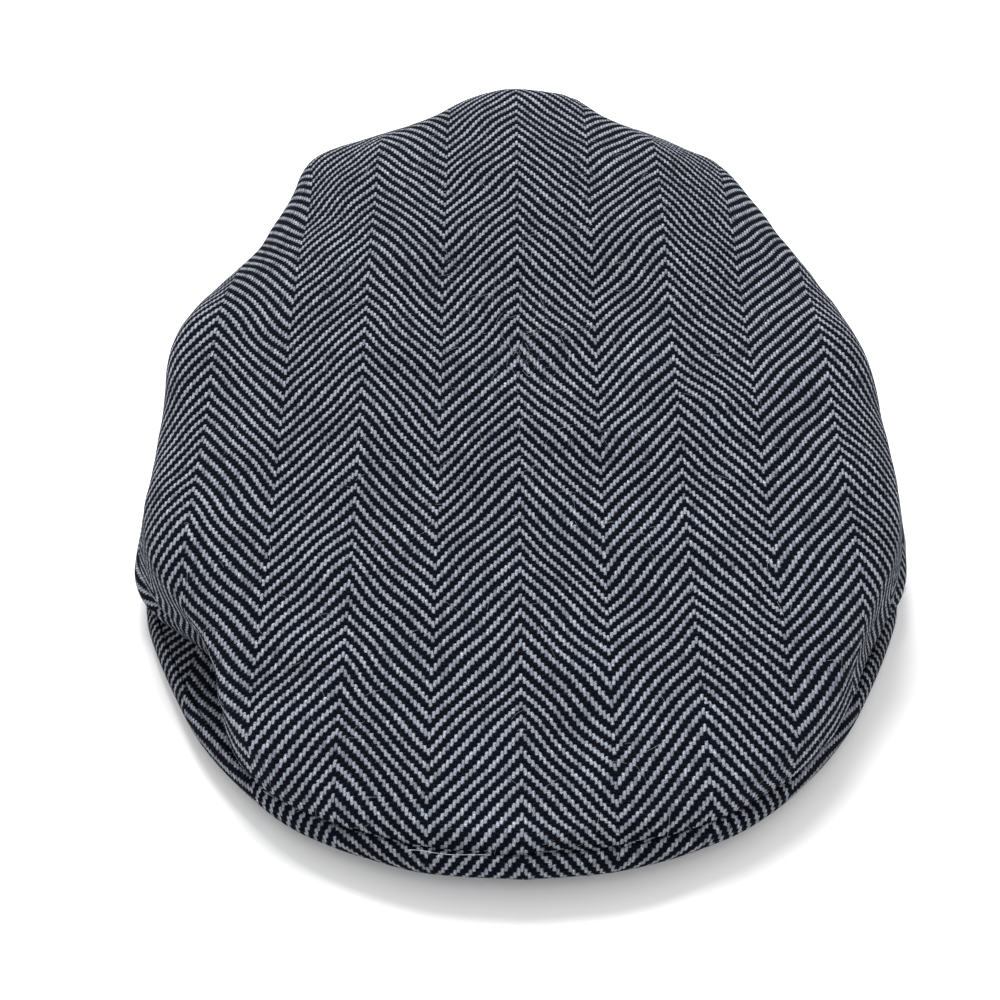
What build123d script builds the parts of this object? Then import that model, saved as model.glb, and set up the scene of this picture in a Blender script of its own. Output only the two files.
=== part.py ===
from build123d import *

import os
from collections import namedtuple
from math import copysign, cos, radians, sin, sqrt, tau

os.makedirs("parts", exist_ok=True)

# A flat cap in tweed, lying on its hem as it would on a shelf.
# Millimetres. +Z is up, +Y is the back of the cap, the visor points to -Y.
# The hem's underside is the floor, z = 0, and x = 0 is the cap's middle.

# ---------------------------------------------------------------- driving sizes

PANEL_T = 1.8            # tweed
LINING_T = 1.0           # satin
LAYER_GAP = 0.8          # air between tweed and lining
LINING_AT = PANEL_T + LAYER_GAP
INSIDE_AT = LINING_AT + LINING_T

BAND_HEIGHT = 25.0       # sweatband
BAND_T = 1.2
BAND_LIFT = 0.6          # the band stays this far above the hem
BAND_AT = INSIDE_AT + 0.3
ELASTIC_HALF_W = 36.0    # half the width of the elastic stretch at the back

VISOR_ARCH_R = 900.0     # the visor bends this gently from side to side
VISOR_MID_Z = 8.8        # the board's middle surface on the centre line
BOARD_T = 2.2
BOARD_SHRINK = 0.955     # the board's plan against the covered visor's
BOARD_BACK_GAP = 4.0     # from the head's oval to the board
COVER_T = 1.7
COVER_GAP = 0.2          # between the board and its covers
VISOR_SEAM_GAP = 0.8     # between the visor's back edge and the crown
VISOR_TOP = VISOR_MID_Z + BOARD_T / 2 + COVER_GAP + COVER_T
VISOR_UNDER = VISOR_MID_Z - BOARD_T / 2 - COVER_GAP - COVER_T

# Points (Y, Z) where the seam between top and sides starts and ends
SEAM_FRONT = (-48.0, 8.0)
SEAM_BACK = (122.0, 54.0)

FAR = 300.0              # longer than the cap in every direction

# ---------------------------------------------------------------- crown outline

# The crown is a stack of closed outlines, each on a plane that rises to the back.
# front, widest and back are Y; square_front and square_back are superellipse powers,
# taper narrows the outline to the back, lean is the wall's lean from upright to flat.
Outline = namedtuple(
    "Outline",
    "front half_width back widest front_z back_z square_front square_back taper lean",
)

HEM = Outline(-82, 88, 120, 17, 0, 0, 2.0, 2.1, 0.0, 0)
HEM_TOP = Outline(-82.5, 88.5, 120.5, 17, 8.5, 12, 2.0, 2.1, 0.0, 0)
UPPER_SIDE = Outline(-119, 102.5, 125.5, -10, 10.5, 52, 2.0, 2.5, 0.2, 0)
ROLL = Outline(-119.5, 101, 124, -12, 15, 69, 2.1, 2.5, 0.26, 10)
SHOULDER = Outline(-113, 93.5, 119, -14, 17.5, 84, 2.1, 2.6, 0.29, 40)
TOP_EDGE = Outline(-100, 79, 110, -10, 20.5, 94, 2.1, 2.7, 0.28, 70)
TOP_OUTER = Outline(-78, 58, 95, -5, 26.5, 98, 2.0, 2.6, 0.2, 85)
TOP_MIDDLE = Outline(-45, 30, 63, 5, 39, 88, 2.0, 2.2, 0.1, 90)

CROWN = [HEM, HEM_TOP, UPPER_SIDE, ROLL, SHOULDER, TOP_EDGE, TOP_OUTER, TOP_MIDDLE]
HALF_POINTS = 7          # points along one half of an outline


def signed_power(value, power):
    return copysign(abs(value) ** power, value)


def half_outline(outline, inset):
    """The right half of an outline, front to back, in its own plane, moved in by inset."""
    points = []
    for step in range(HALF_POINTS):
        angle = tau / 2 * (step / (HALF_POINTS - 1) - 0.5)
        behind = sin(angle) > 0
        power = 2 / (outline.square_back if behind else outline.square_front)
        along = signed_power(sin(angle), power)
        narrowing = 1 - outline.taper * along**2 if behind else 1
        front_reach = outline.widest - outline.front - inset
        back_reach = outline.back - outline.widest - inset
        at_pole = step in (0, HALF_POINTS - 1)
        across = 0 if at_pole else abs(cos(angle)) ** power * narrowing
        y = outline.widest + along * (back_reach if behind else front_reach)
        points.append(((outline.half_width - inset) * across, y))
    return points


def outline_sketch(outline, inset=0.0, drop=0.0):
    """An outline as a face on its own rising plane, lowered by drop."""
    run = outline.back - outline.front
    rise = outline.back_z - outline.front_z
    stretch = sqrt(run**2 + rise**2) / run
    height = outline.front_z - outline.front * rise / run - drop
    plane = Plane(origin=(0, 0, height), x_dir=(1, 0, 0), z_dir=(0, -rise, run))
    right = [(x, y * stretch) for x, y in half_outline(outline, inset)]
    left = [(-x, y) for x, y in right]
    with BuildSketch(plane) as sketch:
        with BuildLine():
            Spline(right, tangents=[(1, 0), (-1, 0)])
            Spline(left, tangents=[(-1, 0), (1, 0)])
        make_face()
    return sketch.sketch


def crown_block(inset):
    """The whole crown as one solid, its wall moved in by inset."""
    with BuildPart() as block:
        for outline in CROWN:
            sideways = inset * cos(radians(outline.lean))
            down = inset * sin(radians(outline.lean))
            add(outline_sketch(outline, sideways, down))
        loft(ruled=True)
    return block.part


# Solids that the layers are cut from, from the tweed's face to the lining's inner face
OUTSIDE = crown_block(0)
PANEL_INSIDE = crown_block(PANEL_T)
LINING_OUTSIDE = crown_block(LINING_AT)
LINING_INSIDE = crown_block(INSIDE_AT)

# ---------------------------------------------------------------- cutting planes and zones

SEAM_RUN = SEAM_BACK[0] - SEAM_FRONT[0]
SEAM_RISE = SEAM_BACK[1] - SEAM_FRONT[1]
SEAM = Plane(origin=(0, *SEAM_FRONT), x_dir=(1, 0, 0), z_dir=(0, -SEAM_RISE, SEAM_RUN))


def arch_height(x, middle_z):
    """Height of the visor's arched surface at x."""
    return middle_z - x**2 / (2 * VISOR_ARCH_R)


def arch_face(low, high):
    """The cross-section between two arched surfaces, seen from the front."""
    edge_x = 115
    with BuildSketch(Plane.XZ) as sketch:
        with BuildLine():
            ends = []
            for middle_z in (low, high):
                left = (-edge_x, arch_height(edge_x, middle_z))
                right = (edge_x, arch_height(edge_x, middle_z))
                ThreePointArc(left, (0, middle_z), right)
                ends.append((left, right))
            Line(ends[0][0], ends[1][0])
            Line(ends[0][1], ends[1][1])
        make_face()
    return sketch.sketch


def front_zone(behind_y):
    """Everything under the visor's upper surface, forward of behind_y."""
    with BuildPart() as zone:
        with BuildSketch(Plane.XZ):
            add(arch_face(-FAR, VISOR_TOP + COVER_GAP))
        extrude(amount=FAR)
    return zone.part.moved(Location((0, behind_y, 0)))


def layer(outer, inner):
    """A skin between two crown blocks, open at the hem."""
    with BuildPart() as skin:
        add(outer)
        add(inner, mode=Mode.SUBTRACT)
    return skin.part


SIDES = {"left": Keep.TOP, "right": Keep.BOTTOM}   # the wearer's left is +X
FRONT_ZONE = front_zone(SEAM_FRONT[0])
TWEED_SKIN = layer(OUTSIDE, PANEL_INSIDE)

# ---------------------------------------------------------------- tweed panels

with BuildPart() as top_panel:
    add(TWEED_SKIN)
    add(FRONT_ZONE, mode=Mode.SUBTRACT)
    split(bisect_by=SEAM, keep=Keep.TOP)
top_panel.part.label = "top_panel"
export_step(top_panel.part, "parts/top_panel.step")

for side, half in SIDES.items():
    with BuildPart() as side_panel:
        add(TWEED_SKIN)
        split(bisect_by=SEAM, keep=Keep.BOTTOM)
        split(bisect_by=Plane.YZ, keep=half)
    side_panel.part.label = f"side_panel_{side}"
    export_step(side_panel.part, f"parts/side_panel_{side}.step")

# ---------------------------------------------------------------- lining

# The lining doesn't follow the overhang above the visor: this column cuts it off there
# and gives it a front wall.
LINING_FRONT = Outline(-80.5, 125, FAR, 17, 0, 0, 1.6, 2.0, 0.0, 0)


def lining_block(block, inset):
    """A crown block with the lining's own front wall."""
    with BuildPart() as column:
        add(outline_sketch(LINING_FRONT, inset))
        extrude(amount=FAR)
        add(block, mode=Mode.INTERSECT)
    return column.part


LINING_SKIN = layer(lining_block(LINING_OUTSIDE, 0), lining_block(LINING_INSIDE, LINING_T))

with BuildPart() as lining_top:
    add(LINING_SKIN)
    split(bisect_by=SEAM, keep=Keep.TOP)
lining_top.part.label = "lining_top"
export_step(lining_top.part, "parts/lining_top.step")

for side, half in SIDES.items():
    with BuildPart() as lining_side:
        add(LINING_SKIN)
        split(bisect_by=SEAM, keep=Keep.BOTTOM)
        split(bisect_by=Plane.YZ, keep=half)
    lining_side.part.label = f"lining_side_{side}"
    export_step(lining_side.part, f"parts/lining_side_{side}.step")

# ---------------------------------------------------------------- visor

# Right half of the visor's outer edge, from the middle of the front to the horn's tip
VISOR_EDGE = [(0, -125.5), (36, -122.5), (61, -105), (81, -75.5), (92, -53), (94, -38), (82, -27)]


def crescent_sketch(shrink=1.0, back_gap=VISOR_SEAM_GAP):
    """The visor's plan: its edge, shrunk towards the horns' line, less the head's oval."""
    horns_y = VISOR_EDGE[-1][1]
    right = [(x * shrink, horns_y + (y - horns_y) * shrink) for x, y in VISOR_EDGE]
    left = [(-x, y) for x, y in right]
    with BuildSketch() as crescent:
        with BuildLine():
            Spline(right, tangents=[(1, 0), (-1, 0.6)])
            Spline(left, tangents=[(-1, 0), (1, 0.6)])
            Line(right[-1], left[-1])
        make_face()
        add(outline_sketch(HEM, -back_gap), mode=Mode.SUBTRACT)
    return crescent.sketch


def arch_solid(low, high):
    """The space between two arched surfaces, under the front half of the cap."""
    with BuildPart() as arch:
        with BuildSketch(Plane.XZ):
            add(arch_face(low, high))
        extrude(amount=FAR)
    return arch.part


def visor_layer(plan, low, high):
    """The part of the visor's plan between two arched surfaces."""
    arch = arch_solid(low, high)
    with BuildPart() as sheet:
        add(plan)
        extrude(amount=FAR / 10, both=True)
        add(arch, mode=Mode.INTERSECT)
    return sheet.part


BOARD_LOW = VISOR_MID_Z - BOARD_T / 2
BOARD_HIGH = VISOR_MID_Z + BOARD_T / 2
VISOR_PLAN = crescent_sketch()

with BuildPart() as visor_board:
    add(visor_layer(crescent_sketch(BOARD_SHRINK, BOARD_BACK_GAP), BOARD_LOW, BOARD_HIGH))
visor_board.part.label = "visor_board"
export_step(visor_board.part, "parts/visor_board.step")

with BuildPart() as visor_upper_cover:
    add(visor_layer(VISOR_PLAN, BOARD_HIGH + COVER_GAP, VISOR_TOP))
visor_upper_cover.part.label = "visor_upper_cover"
export_step(visor_upper_cover.part, "parts/visor_upper_cover.step")

# The under cover turns up round the board's edge to meet the upper cover
with BuildPart() as visor_under_cover:
    add(visor_layer(VISOR_PLAN, VISOR_UNDER, BOARD_HIGH))
    board_pocket = crescent_sketch(BOARD_SHRINK + 0.003, BOARD_BACK_GAP - COVER_GAP)
    add(visor_layer(board_pocket, BOARD_LOW - COVER_GAP, FAR / 20), mode=Mode.SUBTRACT)
visor_under_cover.part.label = "visor_under_cover"
export_step(visor_under_cover.part, "parts/visor_under_cover.step")

# ---------------------------------------------------------------- sweatband


def oval_ring(outer_inset, inner_inset, low, high):
    """An upright band that follows the hem."""
    with BuildPart() as ring:
        with BuildSketch(Plane.XY.offset(low)):
            add(outline_sketch(HEM, outer_inset))
            add(outline_sketch(HEM, inner_inset), mode=Mode.SUBTRACT)
        extrude(amount=high - low)
    return ring.part


BAND_RING = oval_ring(BAND_AT, BAND_AT + BAND_T, BAND_LIFT, BAND_LIFT + BAND_HEIGHT)
BAND_GAP = 0.4           # where the elastic is sewn to the front band
BACK_Y = 60.0            # the elastic is behind this

with BuildPart() as sweatband_back:
    with Locations((0, BACK_Y + FAR / 2, 0)):
        Box(2 * ELASTIC_HALF_W, FAR, FAR)
    add(BAND_RING, mode=Mode.INTERSECT)
sweatband_back.part.label = "sweatband_back"
export_step(sweatband_back.part, "parts/sweatband_back.step")

with BuildPart() as sweatband_front:
    add(BAND_RING)
    with Locations((0, BACK_Y + FAR / 2, 0)):
        Box(2 * (ELASTIC_HALF_W + BAND_GAP), FAR, FAR, mode=Mode.SUBTRACT)
sweatband_front.part.label = "sweatband_front"
export_step(sweatband_front.part, "parts/sweatband_front.step")

# A small ribbon bow lies on the band at the centre back
BOW_HALF_W = 13.0
BOW_T = 2.2
BOW_MIDDLE_Z = BAND_LIFT + BAND_HEIGHT / 2
BAND_INSIDE_Y = HEM.back - BAND_AT - BAND_T
BOW_GAP = 1.4

with BuildPart() as sweatband_bow:
    with BuildSketch(Plane.XZ.offset(-(BAND_INSIDE_Y - BOW_GAP))):
        for sign in (-1, 1):
            with BuildLine():
                Spline(
                    (sign * 1, BOW_MIDDLE_Z + 1.5),
                    (sign * BOW_HALF_W * 0.7, BOW_MIDDLE_Z + 5),
                    (sign * BOW_HALF_W, BOW_MIDDLE_Z),
                    (sign * BOW_HALF_W * 0.7, BOW_MIDDLE_Z - 5),
                    (sign * 1, BOW_MIDDLE_Z - 1.5),
                )
                Line((sign * 1, BOW_MIDDLE_Z - 1.5), (sign * 1, BOW_MIDDLE_Z + 1.5))
            make_face()
        with Locations((0, BOW_MIDDLE_Z)):
            RectangleRounded(5, 6, 1.2)
    extrude(amount=BOW_T)
sweatband_bow.part.label = "sweatband_bow"
export_step(sweatband_bow.part, "parts/sweatband_bow.step")

# ---------------------------------------------------------------- labels

# A blank woven label lies under the flat middle of the crown's lining
LABEL_SIZE = (46.0, 28.0, 0.6)
LABEL_Y = 20.0
crown_rise = TOP_MIDDLE.back_z - TOP_MIDDLE.front_z
crown_run = TOP_MIDDLE.back - TOP_MIDDLE.front
label_z = TOP_MIDDLE.front_z + (LABEL_Y - TOP_MIDDLE.front) * crown_rise / crown_run
LABEL_PLANE = Plane(
    origin=(0, LABEL_Y, label_z - INSIDE_AT - 0.4),
    x_dir=(1, 0, 0),
    z_dir=(0, crown_rise, -crown_run),
)

with BuildPart() as maker_label:
    with BuildSketch(LABEL_PLANE):
        RectangleRounded(LABEL_SIZE[0], LABEL_SIZE[1], 1.5)
    extrude(amount=LABEL_SIZE[2])
maker_label.part.label = "maker_label"
export_step(maker_label.part, "parts/maker_label.step")

# A folded blank size tab stands on the band beside the elastic
TAB_SIZE = (12.0, 16.0, 1.0)
TAB_ANGLE = 36.0         # the band's turn at the tab, from the centre back
TAB_CLEAR = 1.7          # from the band's inner face to the tab's middle
tab_x = -(ELASTIC_HALF_W + 8)
tab_half_width = HEM.half_width - BAND_AT - BAND_T
tab_reach = HEM.back - HEM.widest - BAND_AT - BAND_T
tab_y = HEM.widest + tab_reach * sqrt(1 - (tab_x / tab_half_width) ** 2)
tab_x += TAB_CLEAR * sin(radians(TAB_ANGLE))
tab_y -= TAB_CLEAR * cos(radians(TAB_ANGLE))
with BuildPart() as size_tab:
    with Locations(Location((tab_x, tab_y, BOW_MIDDLE_Z), (0, 0, TAB_ANGLE))):
        Box(TAB_SIZE[0], TAB_SIZE[2], TAB_SIZE[1])
    fillet(size_tab.edges().filter_by(Axis.Z), TAB_SIZE[2] * 0.45)
size_tab.part.label = "size_tab"
export_step(size_tab.part, "parts/size_tab.step")

# ---------------------------------------------------------------- visor binding

# A folded strip of tape stands between the visor's back edge and the lining
BINDING_OUT = 0.4
BINDING_IN = 0.9
BINDING_HIGH = VISOR_TOP - 0.4
BINDING_BACK_Y = -52.0
with BuildPart() as visor_binding:
    add(oval_ring(-BINDING_OUT, BINDING_IN, VISOR_UNDER, BINDING_HIGH))
    split(bisect_by=Plane.XZ.offset(-BINDING_BACK_Y), keep=Keep.TOP)
visor_binding.part.label = "visor_binding"
export_step(visor_binding.part, "parts/visor_binding.step")
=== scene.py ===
import math

import bmesh
import bpy
import numpy as np
from mathutils import Matrix, Vector


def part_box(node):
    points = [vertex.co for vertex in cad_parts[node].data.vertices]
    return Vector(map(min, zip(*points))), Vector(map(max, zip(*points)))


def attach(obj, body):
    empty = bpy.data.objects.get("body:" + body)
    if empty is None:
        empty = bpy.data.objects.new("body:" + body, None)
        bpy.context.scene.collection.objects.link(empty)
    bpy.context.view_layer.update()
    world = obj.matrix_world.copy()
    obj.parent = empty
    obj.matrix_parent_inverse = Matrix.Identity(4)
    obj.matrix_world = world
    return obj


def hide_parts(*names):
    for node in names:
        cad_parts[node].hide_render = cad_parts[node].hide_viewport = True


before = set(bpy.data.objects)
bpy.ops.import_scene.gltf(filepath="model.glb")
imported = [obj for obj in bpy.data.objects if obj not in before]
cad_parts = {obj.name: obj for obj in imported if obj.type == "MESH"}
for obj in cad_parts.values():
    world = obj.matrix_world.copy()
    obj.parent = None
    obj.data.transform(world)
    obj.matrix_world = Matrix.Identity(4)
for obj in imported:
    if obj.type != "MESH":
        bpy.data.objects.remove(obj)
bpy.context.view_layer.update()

MM = 0.001
BODY = "root"
rng = np.random.default_rng(7)

# ================================================================ crown outlines, in mm

# Rings from the hem up to the middle of the top. Each: front, half width, back, Y of the widest
# place, height at front and back, superellipse powers at front and back, taper to the back
CROWN = np.array([
    (-122.2, 88, 120, -4, 11.2, -14, 2.35, 2.1, 0.0),
    (-121.8, 104.4, 121.5, -4, 13.0, 5, 2.1, 2.2, 0.08),
    (-121.5, 101.5, 124.0, -8, 14.5, 34, 2.1, 2.4, 0.16),
    (-119.8, 99, 124.5, -12, 16.0, 58, 2.1, 2.5, 0.22),
    (-116.5, 96.5, 123, -14, 16.2, 75, 2.1, 2.55, 0.25),
    (-110.5, 89.5, 118, -14, 18.2, 86.5, 2.1, 2.65, 0.26),
    (-98, 76, 109, -10, 21, 93.5, 2.1, 2.7, 0.24),
    (-78, 57, 95, -5, 26.5, 96.5, 2.0, 2.6, 0.2),
    (-45, 30, 63, 5, 39, 87.5, 2.0, 2.2, 0.1),
    (5, 0.01, 6, 5.5, 60.5, 61, 2.0, 2.0, 0.0),
])
LINING = np.array([
    (-79, 84.5, 117, 17, 0.8, 0.8, 2.0, 2.1, 0.0),
    (-79.5, 85.3, 117.4, 17, 8.5, 12, 2.0, 2.1, 0.0),
    (-81, 95.4, 120.6, -8, 14, 52, 2.0, 2.5, 0.2),
    (-80.5, 94.8, 119.6, -8, 18, 67, 2.1, 2.5, 0.25),
    (-78, 89.5, 115.5, -8, 21, 80.5, 2.1, 2.6, 0.27),
    (-74, 75, 107, -6, 23, 90, 2.1, 2.7, 0.24),
    (-62, 55, 92, -3, 28, 94, 2.0, 2.6, 0.2),
    (-42, 28, 61, 5, 36.5, 84, 2.0, 2.2, 0.1),
    (5, 0.01, 6, 5.5, 56.6, 57, 2.0, 2.0, 0.0),
])
TOP_TILT = math.radians(24.0)     # the crown's top rises this much to the back
POLE = np.array([0.0, 5.5, 61.0])

SEAM_FRONT = np.array([0.0, -56.0, 11.0])
SEAM_BACK = np.array([0.0, 122.0, 54.0])
SEAM_NORMAL = np.cross([1.0, 0.0, 0.0], SEAM_BACK - SEAM_FRONT)
SEAM_NORMAL /= np.linalg.norm(SEAM_NORMAL)

VISOR_ARCH_R = 1300.0
VISOR_MID_Z = 8.8
VISOR_HALF_T = 3.1

AROUND = 400
ROWS = 230


def signed_power(value, power):
    return np.sign(value) * np.abs(value) ** power


def catmull(table, samples):
    """A smooth curve through the rows of a table, evenly spread by travelled distance."""
    table = np.asarray(table, float)
    padded = np.vstack([2 * table[0] - table[1], table, 2 * table[-1] - table[-2]])
    steps = np.linalg.norm(np.diff(table[:, :6], axis=0), axis=1)
    knots = np.concatenate([[0], np.cumsum(steps)])
    where = np.linspace(0, knots[-1], samples)
    index = np.clip(np.searchsorted(knots, where, side="right") - 1, 0, len(table) - 2)
    t = ((where - knots[index]) / steps[index])[:, None]
    a, b, c, d = (padded[index + k] for k in range(4))
    return b + 0.5 * t * (c - a + t * (2 * a - 5 * b + 4 * c - d + t * (3 * (b - c) + d - a)))


def crown_grid(outlines, rows, around):
    """Rows of points from the hem up to the middle of the top, each row a closed outline."""
    f, b, r, w, zf, zb, nf, nb, taper = catmull(outlines, rows).T[:, :, None]
    angle = np.linspace(0, 2 * math.pi, around, endpoint=False)[None, :]
    behind = np.sin(angle) > 0
    power = np.where(behind, 2 / nb, 2 / nf)
    along = signed_power(np.sin(angle), power)
    across = signed_power(np.cos(angle), power)
    x = b * across * np.where(behind, 1 - taper * along**2, 1.0)
    y = w + np.where(behind, r - w, w - f) * along
    z = np.maximum(zf + (zb - zf) * (y - f) / (r - f), 0.0)
    grid = np.stack([x, y, z], axis=-1)
    grid[-1] = grid[-2].mean(axis=0)
    return grid


def grid_normals(grid):
    around = np.roll(grid, -1, axis=1) - np.roll(grid, 1, axis=1)
    up = np.gradient(grid, axis=0)
    normal = np.cross(around, up)
    length = np.linalg.norm(normal, axis=-1, keepdims=True)
    return normal / np.maximum(length, 1e-9)


def cloth_coordinates(grid):
    """(across, along) in mm on the flat cloth, walked out from the middle of the top."""
    tilt_y = np.array([0, math.cos(TOP_TILT), math.sin(TOP_TILT)])
    walk = grid[::-1] - POLE
    flat = np.stack([walk[..., 0], walk @ tilt_y], axis=-1)
    step = np.diff(walk, axis=0, prepend=walk[:1] * 0)
    length = np.linalg.norm(step, axis=-1, keepdims=True)
    heading = np.diff(flat, axis=0, prepend=flat[:1] * 0)
    run = np.linalg.norm(heading, axis=-1, keepdims=True)
    outward = flat / np.maximum(np.linalg.norm(flat, axis=-1, keepdims=True), 1e-6)
    share = np.clip(run / np.maximum(length, 1e-9), 0, 1) ** 2
    direction = share * heading / np.maximum(run, 1e-9) + (1 - share) * outward
    direction /= np.maximum(np.linalg.norm(direction, axis=-1, keepdims=True), 1e-9)
    return np.cumsum(direction * length, axis=0)[::-1]


def bump(points, centre, radius, height):
    """A smooth round hill: its height at each point."""
    distance = np.linalg.norm((points - np.asarray(centre, float)) / radius, axis=-1)
    return height * np.exp(-distance**2)


def ripples(points, scale, seed, octaves=3):
    """Smooth uneven relief from a few crossed waves, about -1 to 1."""
    source = np.random.default_rng(seed)
    total = np.zeros(points.shape[:-1])
    weight = 1.0
    for octave in range(octaves):
        for _ in range(4):
            wave = source.normal(size=3)
            wave *= 2 * math.pi / (scale * np.linalg.norm(wave))
            total += weight * np.sin(points @ wave + source.uniform(0, 2 * math.pi)) / 4
        scale *= 0.52
        weight *= 0.5
    return total


def back_hollows(points):
    """How far the top sinks on both sides of its ridge at the back."""
    return (bump(points, (-33, 108, 95), (17, 20, 14), 5.2)
            + bump(points, (35, 108, 95), (16, 20, 14), 5.0))


def sculpted_crown():
    """The tweed crown's outer surface, its normals and its cloth coordinates."""
    grid = crown_grid(CROWN, ROWS, AROUND)
    # The cap draws in above the visor's horns, a little more on the right
    low = np.exp(-((grid[..., 2] - 8) / 24) ** 2)
    horn = np.exp(-((grid[..., 1] + 66) / np.where(grid[..., 1] < -66, 27, 21)) ** 2)
    draw_in = np.where(grid[..., 0] < 0, 0.19, 0.09)
    grid[..., 0] *= 1 - draw_in * low * horn
    normal = grid_normals(grid)
    relief = np.zeros(grid.shape[:2])
    # Back shoulders, side corners and the hollows between them; the right ones sit higher
    relief += bump(grid, (-63, 92, 78), (11, 14, 12), 6.0)
    relief += bump(grid, (70, 94, 82), (12, 15, 13), 8.5)
    relief -= back_hollows(grid)
    relief += bump(grid, (-93, 20, 58), (13, 22, 14), 5.2)
    relief += bump(grid, (92, 18, 60), (13, 22, 13), 3.4)
    relief -= bump(grid, (-84, 58, 66), (12, 14, 12), 2.2)
    relief += bump(grid, (103, 2, 30), (14, 34, 20), 1.2)
    relief -= bump(grid, (-100, -4, 36), (12, 24, 9), 1.2)
    relief -= bump(grid, (100, -10, 38), (12, 24, 9), 1.2)
    relief -= bump(grid, (0, -22, 48), (52, 34, 30), 1.3)                  # slight sag
    relief += 0.9 * ripples(grid, 62, 3)
    relief += 0.35 * ripples(grid, 21, 5)
    fade = np.clip(grid[..., 2] / 12, 0, 1)
    points = grid + normal * (relief * fade)[..., None]
    points[..., 2] = np.maximum(points[..., 2], 0.0)
    return points, grid_normals(points), cloth_coordinates(grid)


# ================================================================ mesh helpers


def make_object(name, vertices, faces, material, uv=None, smooth=True):
    """A mesh piece from points in mm; uv is one pair for each vertex."""
    mesh = bpy.data.meshes.new(name)
    mesh.from_pydata([tuple(p) for p in np.asarray(vertices) * MM], [], faces)
    if uv is not None:
        layer = mesh.uv_layers.new(name="cloth")
        loops = np.empty(len(mesh.loops), int)
        mesh.loops.foreach_get("vertex_index", loops)
        layer.data.foreach_set("uv", np.asarray(uv, float)[loops].ravel())
    bm = bmesh.new()
    bm.from_mesh(mesh)
    bmesh.ops.remove_doubles(bm, verts=bm.verts, dist=1e-6)
    bm.to_mesh(mesh)
    bm.free()
    mesh.polygons.foreach_set("use_smooth", [smooth] * len(mesh.polygons))
    mesh.materials.append(material)
    piece = bpy.data.objects.new(name, mesh)
    bpy.context.scene.collection.objects.link(piece)
    mesh.update()
    return piece


def grid_faces(rows, around, closed=True):
    """Quads between rows of points; closed joins each row's last point to its first."""
    faces = []
    for i in range(rows - 1):
        for j in range(around if closed else around - 1):
            k = (j + 1) % around
            faces.append((i * around + j, i * around + k, (i + 1) * around + k,
                          (i + 1) * around + j))
    return faces


def cut(piece, plane_co, plane_no, keep_above=True):
    """Keeps one side of a plane; co in mm."""
    bm = bmesh.new()
    bm.from_mesh(piece.data)
    everything = bm.verts[:] + bm.edges[:] + bm.faces[:]
    bmesh.ops.bisect_plane(
        bm, geom=everything, dist=1e-7,
        plane_co=Vector(plane_co) * MM, plane_no=Vector(plane_no),
        clear_inner=keep_above, clear_outer=not keep_above,
    )
    bm.to_mesh(piece.data)
    bm.free()


def apply_modifier(piece, kind, **settings):
    """Adds a modifier and bakes it into the mesh."""
    modifier = piece.modifiers.new(kind.title(), kind)
    for key, value in settings.items():
        setattr(modifier, key, value)
    depsgraph = bpy.context.evaluated_depsgraph_get()
    depsgraph.update()
    baked = bpy.data.meshes.new_from_object(piece.evaluated_get(depsgraph))
    old = piece.data
    piece.modifiers.clear()
    piece.data = baked
    baked.name = piece.name
    bpy.data.meshes.remove(old)


def points_of(piece):
    co = np.empty(len(piece.data.vertices) * 3)
    piece.data.vertices.foreach_get("co", co)
    return co.reshape(-1, 3) / MM


def set_points(piece, points):
    piece.data.vertices.foreach_set("co", (points * MM).ravel())
    piece.data.update()


def finish_piece(piece, slot, *nodes):
    """Rides the body and stands in for the named CAD nodes; slot is not used."""
    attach(piece, BODY)
    if nodes:
        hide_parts(*nodes)


# ================================================================ node materials


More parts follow.
